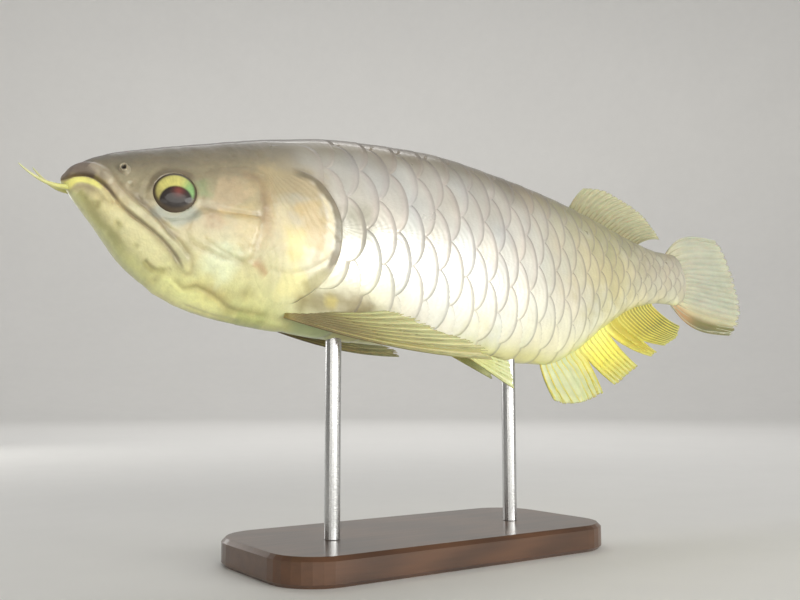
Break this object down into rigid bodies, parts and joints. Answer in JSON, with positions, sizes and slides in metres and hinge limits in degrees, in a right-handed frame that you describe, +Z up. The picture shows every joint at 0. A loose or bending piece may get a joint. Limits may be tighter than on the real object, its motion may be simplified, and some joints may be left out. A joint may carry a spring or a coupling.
{
  "type": "asian arowana",
  "caption": "Life-size still model of an asian arowana, a long large-scaled fish with upturned mouth and barbels, on a rod stand.",
  "frame": {"origin": "centre of the underside of the stand's base, under the middle of the body", "axes": "+X towards the tail along the body's length, -Y out of the fish's left side, +Z up"},
  "size_m": [0.5292, 0.0982, 0.2223],
  "materials": {
    "head": "wet skin, peach to olive",
    "lower_jaw": "wet skin, yellow-green",
    "gill_cover": "wet bone plate, peach with a yellow sheen",
    "eye": "clear, dark with a yellow-green ring",
    "barbel": "wet skin, yellow-green",
    "scales": "large silvery scales with a pink and green sheen",
    "fins": "thin yellow membrane between rays",
    "stand_wood": "dark satin wood",
    "stand_metal": "satin rod"
  },
  "bodies": {
    "root": {"head": "head", "lower_jaw": "lower_jaw", "gill_cover_left": "gill_cover", "gill_cover_right": "gill_cover", "eye_left": "eye", "eye_right": "eye", "barbel_left": "barbel", "barbel_right": "barbel", "trunk_front": "scales", "trunk_rear": "scales", "tail_stock": "scales", "dorsal_fin": "fins", "anal_fin": "fins", "caudal_fin": "fins", "pectoral_fin_left": "fins", "pectoral_fin_right": "fins", "pelvic_fin_left": "fins", "pelvic_fin_right": "fins", "stand_base": "stand_wood", "stand_rod_front": "stand_metal", "stand_rod_rear": "stand_metal"}
  },
  "joints": []
}
